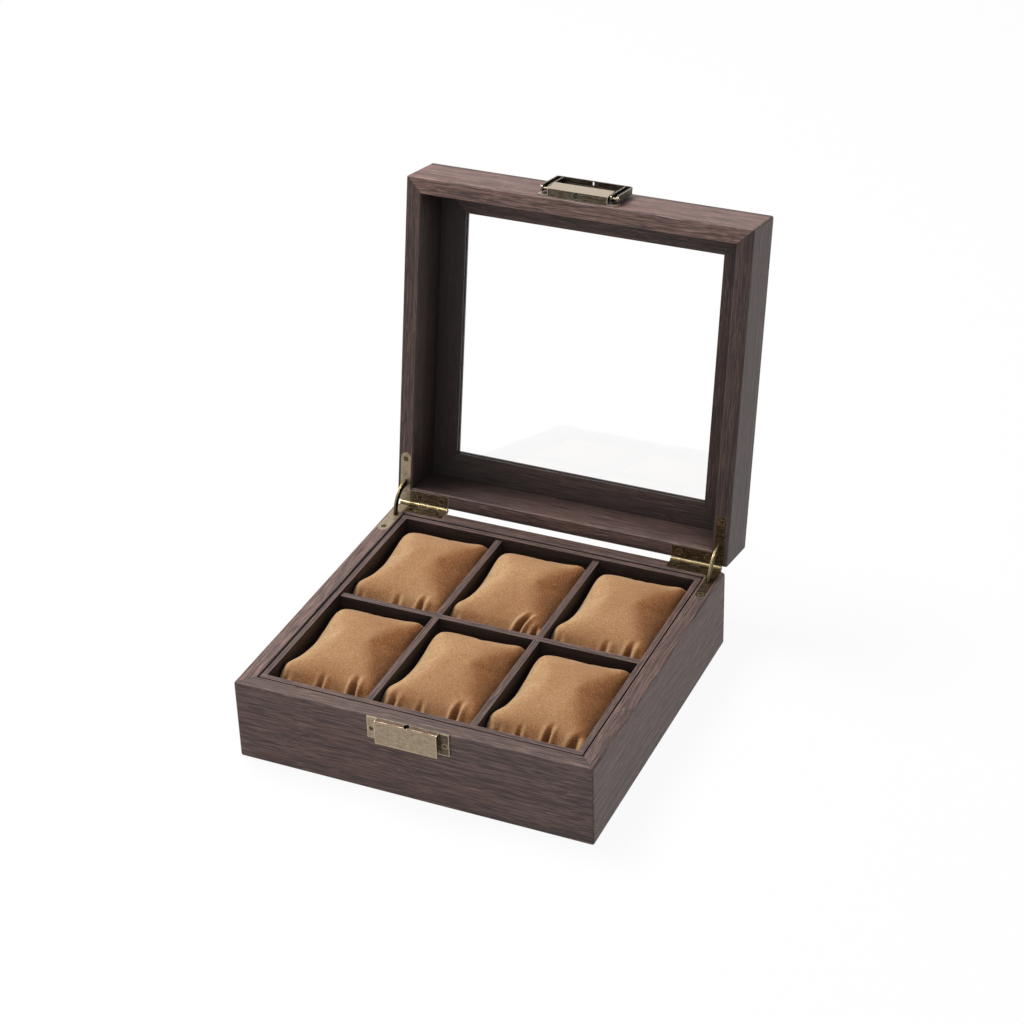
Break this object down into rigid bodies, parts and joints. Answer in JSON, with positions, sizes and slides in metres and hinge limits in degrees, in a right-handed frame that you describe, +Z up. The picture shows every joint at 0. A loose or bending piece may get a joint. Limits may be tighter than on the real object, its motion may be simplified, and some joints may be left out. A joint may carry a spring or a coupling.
{
  "type": "watch box",
  "caption": "Wooden watch box with a hinged glass-topped lid, brass hinges with curved stays, a ring clasp, and a divided tray holding loose soft pillows.",
  "frame": {"origin": "centre of the base's underside", "axes": "+Z up, -Y towards the front with the clasp, +X to the right seen from the front"},
  "size_m": [0.21, 0.2746, 0.2529],
  "materials": {
    "walnut": "satin open-grain dark walnut",
    "tray_wood": "satin dark walnut",
    "hinge_brass": "antiqued, brushed",
    "clasp_brass": "antiqued with bright worn edges",
    "screw_brass": "darkened",
    "suede": "napped suede cloth, camel",
    "glass": "clear"
  },
  "bodies": {
    "base": {"base_back_wall": "walnut", "base_bottom_panel": "walnut", "base_front_wall": "walnut", "base_left_wall": "walnut", "base_right_wall": "walnut", "catch_plate": "clasp_brass", "catch_screws": "screw_brass", "divider_cross": "tray_wood", "divider_left": "tray_wood", "divider_right": "tray_wood", "hinge_base_leaf_left": "hinge_brass", "hinge_base_leaf_right": "hinge_brass", "hinge_pin_left": "hinge_brass", "hinge_pin_right": "hinge_brass", "hinge_screws_base": "screw_brass", "tray_back_wall": "tray_wood", "tray_floor": "tray_wood", "tray_front_wall": "tray_wood", "tray_left_wall": "tray_wood", "tray_right_wall": "tray_wood"},
    "lid": {"clasp_housing": "clasp_brass", "clasp_pin": "clasp_brass", "clasp_screws": "screw_brass", "glass_pane": "glass", "hinge_lid_leaf_left": "hinge_brass", "hinge_lid_leaf_right": "hinge_brass", "hinge_screws_lid": "screw_brass", "lid_back_rail": "walnut", "lid_back_wall": "walnut", "lid_front_rail": "walnut", "lid_front_wall": "walnut", "lid_left_rail": "walnut", "lid_left_wall": "walnut", "lid_right_rail": "walnut", "lid_right_wall": "walnut"},
    "clasp_ring": {"clasp_ring": "clasp_brass"},
    "stay_left": {"stay_left": "hinge_brass"},
    "stay_right": {"stay_right": "hinge_brass"},
    "pillow_front_left": {"pillow_front_left": "suede"},
    "pillow_front_middle": {"pillow_front_middle": "suede"},
    "pillow_front_right": {"pillow_front_right": "suede"},
    "pillow_rear_left": {"pillow_rear_left": "suede"},
    "pillow_rear_middle": {"pillow_rear_middle": "suede"},
    "pillow_rear_right": {"pillow_rear_right": "suede"}
  },
  "joints": [
    {"name": "lid_hinge", "type": "hinge", "parent": "base", "child": "lid", "pos_m": [0, 0.1011, 0.0497], "axis": [-1, 0, 0], "range_deg": [-100, 0]},
    {"name": "clasp_ring_hinge", "type": "hinge", "parent": "lid", "child": "clasp_ring", "pos_m": [0, 0.14266, 0.25054], "axis": [-1, 0, 0], "range_deg": [-180, 0]},
    {"name": "stay_left_turn", "type": "hinge", "parent": "base", "child": "stay_left", "pos_m": [0, 0.1011, 0.0497], "axis": [-1, 0, 0], "range_deg": [-50, 0]},
    {"name": "stay_right_turn", "type": "hinge", "parent": "base", "child": "stay_right", "pos_m": [0, 0.1011, 0.0497], "axis": [-1, 0, 0], "range_deg": [-50, 0]},
    {"name": "pillow_front_left_lift", "type": "slide", "parent": "base", "child": "pillow_front_left", "axis": [0, 0, 1], "range_m": [0, 0.055]},
    {"name": "pillow_front_middle_lift", "type": "slide", "parent": "base", "child": "pillow_front_middle", "axis": [0, 0, 1], "range_m": [0, 0.055]},
    {"name": "pillow_front_right_lift", "type": "slide", "parent": "base", "child": "pillow_front_right", "axis": [0, 0, 1], "range_m": [0, 0.055]},
    {"name": "pillow_rear_left_lift", "type": "slide", "parent": "base", "child": "pillow_rear_left", "axis": [0, 0, 1], "range_m": [0, 0.055]},
    {"name": "pillow_rear_middle_lift", "type": "slide", "parent": "base", "child": "pillow_rear_middle", "axis": [0, 0, 1], "range_m": [0, 0.055]},
    {"name": "pillow_rear_right_lift", "type": "slide", "parent": "base", "child": "pillow_rear_right", "axis": [0, 0, 1], "range_m": [0, 0.055]}
  ],
  "couplings": [
    {"joint": "stay_left_turn", "follows": "lid_hinge", "ratio": 0.5},
    {"joint": "stay_right_turn", "follows": "lid_hinge", "ratio": 0.5}
  ]
}
